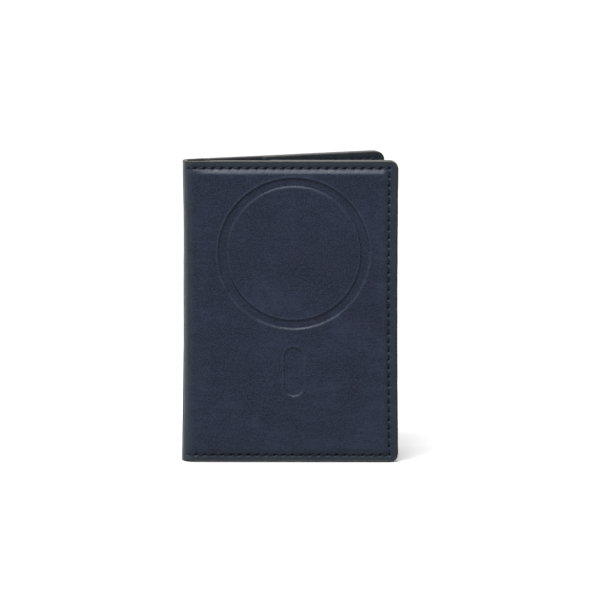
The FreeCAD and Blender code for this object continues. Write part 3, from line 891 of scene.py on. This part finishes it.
def leather_finish(name, deep, body, pale, shift, wear_and_sheen=True, rough=(0.34, 0.50), relief=1.0):
    """Waxed pull-up leather: cloudy colour, faint fibres across, fine pores and creases."""
    f = Finish(name, Specular_IOR_Level=0.25)
    flat = f.flat(shift=shift)
    cloud = f.noise(flat, 5.2, 4.0, 0.6, 0.7)
    patch = f.noise(flat, 21.0, 4.0, 0.6, 0.5)
    fibre = f.noise(f.flat((11.0, 90.0), shift + 3.0, 3.0), 1.0, 4.0, 0.6, 0.6)
    grain = f.noise(flat, 190.0, 3.0, 0.65)
    mottle = f.noise(flat, 78.0, 4.0, 0.7, 0.4)
    tint = f.noise(f.flat(shift=shift + 9.0), 9.0, 2.0, 0.5)
    tone = f.maths("ADD", f.maths("MULTIPLY", cloud, 0.48), f.maths("MULTIPLY", patch, 0.24))
    tone = f.maths("ADD", tone, f.maths("MULTIPLY", fibre, 0.28))
    # Painted shade: the leather is made a little darker towards the top and lighter towards the
    # foot.
    height_for_shade = f.node("ShaderNodeSeparateXYZ", {0: flat}).outputs["Y"]
    tone = f.maths("ADD", tone, f.spread(height_for_shade, 0.1, 1.0, 0.012, -0.022))
    base = f.mix(f.spread(tone, 0.38, 0.53), deep, body)
    base = f.mix(f.spread(tone, 0.50, 0.68, 0.0, 0.85), base, pale)
    green = f.mix(f.spread(tint, 0.52, 0.75, 0.0, 0.30), base, GREEN_TINT)
    base = f.mix(f.spread(tint, 0.25, 0.45, 0.30, 0.0), green, VIOLET_TINT)
    base = f.mix(f.spread(mottle, 0.50, 0.38, 0.0, 0.35), base, deep)
    base = f.mix(f.spread(mottle, 0.50, 0.64, 0.0, 0.35), base, pale)
    base = f.mix(f.spread(grain, 0.42, 0.60, 0.0, 0.75), base, pale)
    pores = f.cells(flat, 130.0)
    base = f.mix(f.spread(pores, 0.05, 0.28, 0.32, 0.0), base, deep)
    if wear_and_sheen:
        sheen_and_wear_here = f.node("ShaderNodeAttribute", attribute_name="wear_and_sheen").outputs["Fac"]
        burnish = f.node("ShaderNodeAttribute", attribute_name="burnish").outputs["Fac"]
        greyed = f.maths("MULTIPLY", burnish, f.spread(cloud, 0.35, 0.65, 0.55, 0.95))
        base = f.mix(greyed, base, BURNISHED)
        # Wear and painted highlight: the rubbed places are lightened, partly for real wear and
        # partly as painted sheen on the raised ridges.
        broken = f.maths("MULTIPLY", sheen_and_wear_here, f.spread(patch, 0.35, 0.65, 0.25, 0.75))
        base = f.mix(broken, base, WORN_AND_SHEEN)
        # Painted shade: the awl slits are darkened to stand in for the shade inside them.
        slit = f.node("ShaderNodeAttribute", attribute_name="slit").outputs["Fac"]
        base = f.mix(f.spread(slit, 0.15, 0.7, 0.0, 0.95), base, SLIT_PAINTED_SHADE)
    crease = f.cells(f.flat((1.0, 1.5), shift, 24.0), 62.0, "DISTANCE_TO_EDGE")
    height = f.bump(f.spread(pores, 0.0, 0.35), 0.012 * relief)
    height = f.bump(f.spread(crease, 0.0, 0.09), 0.010 * relief, height)
    height = f.bump(grain, 0.06 * relief, height)
    height = f.bump(mottle, 0.05 * relief, height)
    height = f.bump(fibre, 0.06 * relief, height)
    uneven = f.maths("ADD", f.maths("MULTIPLY", grain, 0.4), f.maths("MULTIPLY", patch, 0.6))
    shine = f.spread(uneven, 0.35, 0.65, rough[0], rough[1])
    if wear_and_sheen:
        shine = f.maths("SUBTRACT", shine, f.maths("MULTIPLY", sheen_and_wear_here, 0.10))
    return f.connect(Base_Color=base, Roughness=shine, Normal=height)


def lining_finish():
    """Fine dark twill."""
    f = Finish("dark_twill", Roughness=0.85, Specular_IOR_Level=0.2)
    f.shader.inputs["Sheen Weight"].default_value = 0.25
    f.shader.inputs["Sheen Roughness"].default_value = 0.4
    diagonal = f.bands(f.flat(turn=38.0), 58.0, "X")
    weft = f.bands(f.flat(), 105.0, "Y")
    uneven = f.noise(f.flat((1.0, 6.0)), 12.0, 4.0, 0.6)
    weave = f.maths("MULTIPLY", diagonal, f.spread(weft, 0.0, 1.0, 0.55, 1.0))
    base = f.mix(weave, colour(14, 17, 17), colour(28, 33, 32))
    base = f.mix(f.spread(uneven, 0.35, 0.7, 0.0, 0.35), base, colour(36, 41, 39))
    return f.connect(Base_Color=base, Normal=f.bump(weave, 0.06))


def edge_finish():
    """Hand-laid edge paint: satin, a little wavy, with a layered cut faintly showing through."""
    f = Finish("edge_paint", Specular_IOR_Level=0.3)
    flat = f.flat()
    wavy = f.noise(f.flat((1.0, 2.4), 5.0), 26.0, 4.0, 0.6)
    fine = f.noise(flat, 240.0, 3.0, 0.6)
    layer = f.noise(f.flat((3.0, 120.0)), 1.0, 3.0, 0.6)
    base = f.mix(f.spread(wavy, 0.35, 0.65), colour(31, 34, 33), colour(46, 48, 46))
    base = f.mix(f.spread(layer, 0.45, 0.7, 0.0, 0.4), base, colour(23, 26, 27))
    base = f.mix(f.spread(fine, 0.5, 0.75, 0.0, 0.3), base, colour(68, 68, 62))
    height = f.bump(fine, 0.02, f.bump(wavy, 0.10))
    shine = f.spread(fine, 0.3, 0.7, 0.34, 0.5)
    return f.connect(Base_Color=base, Roughness=shine, Normal=height)


def thread_finish():
    """Waxed two-ply thread."""
    f = Finish("waxed_thread", Specular_IOR_Level=0.3)
    fuzz = f.noise(f.solid(), 5200.0, 3.0, 0.6)
    dirt = f.noise(f.solid(), 420.0, 2.0, 0.5)
    base = f.mix(f.spread(dirt, 0.35, 0.65), colour(13, 17, 28), colour(24, 30, 46))
    base = f.mix(f.spread(fuzz, 0.45, 0.75, 0.0, 0.4), base, colour(44, 51, 70))
    shine = f.spread(fuzz, 0.3, 0.7, 0.42, 0.66)
    return f.connect(Base_Color=base, Roughness=shine, Normal=f.bump(fuzz, 0.05))


def board_finish():
    """Pressed fibre board."""
    f = Finish("pressed_fibre", Roughness=0.9, Specular_IOR_Level=0.2)
    fibre = f.noise(f.solid((1.0, 1.0, 0.3)), 900.0, 5.0, 0.7, 0.6)
    fleck = f.noise(f.solid(), 260.0, 3.0, 0.6)
    base = f.mix(f.spread(fibre, 0.3, 0.7), colour(96, 90, 80), colour(148, 140, 126))
    base = f.mix(f.spread(fleck, 0.55, 0.7, 0.0, 0.5), base, colour(70, 66, 60))
    return f.connect(Base_Color=base, Normal=f.bump(fibre, 0.08))


def metal_finish(name, low, high, rough, stretch):
    """Plated or rolled metal with fine drawing lines."""
    f = Finish(name, Metallic=1.0)
    lines = f.noise(f.solid(stretch), 700.0, 4.0, 0.6)
    stain = f.noise(f.solid(), 90.0, 3.0, 0.5)
    base = f.mix(f.spread(stain, 0.3, 0.7), low, high)
    shine = f.spread(lines, 0.3, 0.7, rough, rough + 0.16)
    return f.connect(Base_Color=base, Roughness=shine, Normal=f.bump(lines, 0.006))


cover_leather = leather_finish(
    "waxed_navy_leather", colour(22, 23, 40), colour(29, 32, 51), colour(46, 56, 74), 0.0
)
pocket_leather = leather_finish(
    "pocket_leather",
    colour(20, 27, 33),
    colour(27, 35, 42),
    colour(37, 45, 55),
    6.0,
    wear_and_sheen=False,
    rough=(0.55, 0.7),
    relief=0.6,
)
lining_cloth = lining_finish()
edge_paint = edge_finish()
thread = thread_finish()
fibre_board = board_finish()
nickel = metal_finish(
    "nickel_plate", colour(188, 184, 172), colour(206, 202, 192), 0.22, (1.0, 1.0, 8.0)
)
steel = metal_finish(
    "rolled_steel", colour(150, 152, 156), colour(172, 174, 178), 0.32, (8.0, 1.0, 1.0)
)


# ---------------------------------------------------------------- the object


def across_fold(piece, side):
    """Bakes a piece's placement into its mesh; the fold's two ends are worked out, but the piece is
    not bent.
    """
    cover_end = tuple(place(side, 0.0, HEIGHT / 2, -LEATHER / 2))
    spine_end = tuple(place(side, -BEND_LENGTH, HEIGHT / 2, -LEATHER / 2))
    if side == FRONT:
        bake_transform(piece)
    else:
        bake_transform(piece)


def dress(piece, finish, slot, *nodes):
    """Gives a piece its finish and hides the CAD nodes that it stands for. The slot is not used."""
    piece.data.materials.append(finish)
    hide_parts(*nodes)


for side, cover in COVER_BODY.items():
    leather = make_outer_leather(side)
    dress(leather, cover_leather, "navy_leather", f"{side}_outer_leather", "spine_outer_leather")
    lining = make_lining(side)
    dress(lining, lining_cloth, "dark_lining", f"{side}_lining", "spine_lining")
    paint = make_edge_paint(side)
    dress(paint, edge_paint, "navy_leather")
    seam = make_stitching(side)
    dress(seam, thread, "navy_thread", f"{side}_stitching")
    for piece in (leather, lining, paint, seam):
        across_fold(piece, side)
    for name, left, depths, seed in (
        ("note_pocket", U_NOTE, NOTE_DEPTHS, 41),
        ("card_pocket", U_CARD, CARD_DEPTHS, 43),
    ):
        pocket = make_pocket(side, name, left, depths, seed)
        dress(pocket, pocket_leather, "pocket_leather", f"{side}_{name}")
        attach(pocket, cover)
        above = LINED if name == "note_pocket" else NOTE_DEPTHS[1]
        strips = make_filler(side, name, left, (above, depths[0]))
        dress(strips, pocket_leather, "pocket_filler", f"{side}_{name}_filler")
        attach(strips, cover)

for name, finish in (
    ("front_board", fibre_board),
    ("back_board", fibre_board),
    ("magnet_ring", nickel),
    ("bar_magnet", nickel),
    ("steel_backing_ring", steel),
):
    node = frame["nodes"][name]
    node.data.materials.clear()
    node.data.materials.append(finish)


# ---------------------------------------------------------------- studio


def add_object(name, data, location, look_at=None):
    obj = bpy.data.objects.new(name, data)
    bpy.context.scene.collection.objects.link(obj)
    obj.location = location
    if look_at is not None:
        heading = Vector(look_at) - Vector(location)
        obj.rotation_euler = heading.to_track_quat("-Z", "Y").to_euler()
    return obj


def softbox(name, location, size, power):
    """A soft rectangular light turned towards the middle of the object."""
    light = bpy.data.lights.new(name, "AREA")
    light.shape = "RECTANGLE"
    light.size, light.size_y = size
    light.energy = power
    return add_object(name, light, location, look_at=(0.0, 0.0, 0.06))


def grey(level):
    return (level, level, level, 1.0)


def studio_floor():
    """A plain pale floor, a little paler at the back, where less of the key light reaches it. It
    throws no light back on the object: the world's lower half stands in for that."""
    f = Finish("white_floor", Roughness=0.8, Specular_IOR_Level=0.1)
    faint = f.noise(f.solid(), 3.0, 2.0, 0.5)
    base = f.mix(faint, grey(0.74), grey(0.76))
    depth = f.node("ShaderNodeSeparateXYZ", {0: f.solid()}).outputs["Y"]
    base = f.mix(f.spread(depth, 0.95, 2.0), base, grey(0.90))
    f.connect(Base_Color=base)
    half = 8.0
    mesh = bpy.data.meshes.new("studio_floor")
    corners = [(-half, -half, 0.0), (half, -half, 0.0), (half, half, 0.0), (-half, half, 0.0)]
    mesh.from_pydata(corners, [], [(0, 1, 2, 3)])
    mesh.materials.append(f.material)
    floor = add_object("studio_floor", mesh, (0.0, 0.0, 0.0))
    floor.visible_diffuse = floor.visible_glossy = False


def studio_world(front, back, top, left, right, below):
    """Even white light from all round, each side at its own strength: weakest in front."""
    world = bpy.data.worlds.new("studio")
    world.use_nodes = True
    bpy.context.scene.world = world
    nodes, links = world.node_tree.nodes, world.node_tree.links
    split = nodes.new("ShaderNodeSeparateXYZ")
    links.new(nodes.new("ShaderNodeTexCoord").outputs["Generated"], split.inputs[0])

    def ramp(axis, low, high, start, end):
        made = nodes.new("ShaderNodeMapRange")
        made.interpolation_type = "SMOOTHSTEP"
        limits = {"From Min": low, "From Max": high, "To Min": start, "To Max": end}
        for key, value in limits.items():
            made.inputs[key].default_value = value
        links.new(split.outputs[axis], made.inputs["Value"])
        return made.outputs[0]

    def combine(operation, first, second):
        made = nodes.new("ShaderNodeMath")
        made.operation = operation
        links.new(first, made.inputs[0])
        links.new(second, made.inputs[1])
        return made.outputs[0]

    level = combine("ADD", ramp("Y", -0.45, 0.3, front, back), ramp("Z", 0.3, 0.95, 0.0, top))
    level = combine("MULTIPLY", level, ramp("X", -0.9, -0.2, left, 1.0))
    level = combine("MULTIPLY", level, ramp("X", 0.0, 0.8, 1.0, right))
    level = combine("MULTIPLY", level, ramp("Z", -0.3, 0.1, below, 1.0))
    background = nodes["Background"]
    background.inputs["Color"].default_value = grey(1.0)
    links.new(level, background.inputs["Strength"])


studio_floor()
studio_world(front=0.38, back=1.0, top=0.6, left=0.5, right=0.9, below=1.3)
softbox("key", location=(-0.34, -1.05, 2.09), size=(1.4, 0.8), power=58.0)
softbox("fill", location=(-1.9, -1.5, 0.6), size=(0.9, 1.2), power=13.0)

scene = bpy.context.scene
scene.view_settings.view_transform = "Standard"
scene.view_settings.look = "None"

CAMERA_DISTANCE = 2.7
CAMERA_ELEVATION = math.radians(7.9)
CAMERA_AZIMUTH = math.radians(0.4)
CAMERA_LENS = 442.1
CAMERA_SENSOR = 36.0
AIM = (0.00348, -0.0022, 0.06020)

camera_data = bpy.data.cameras.new("camera")
camera_data.lens = CAMERA_LENS
camera_data.sensor_width = CAMERA_SENSOR
camera_data.clip_start, camera_data.clip_end = 0.05, 60.0
away = Vector(
    (
        math.sin(CAMERA_AZIMUTH) * math.cos(CAMERA_ELEVATION),
        -math.cos(CAMERA_AZIMUTH) * math.cos(CAMERA_ELEVATION),
        math.sin(CAMERA_ELEVATION),
    )
)
camera = add_object("camera", camera_data, Vector(AIM) + away * CAMERA_DISTANCE, look_at=AIM)
scene.camera = camera
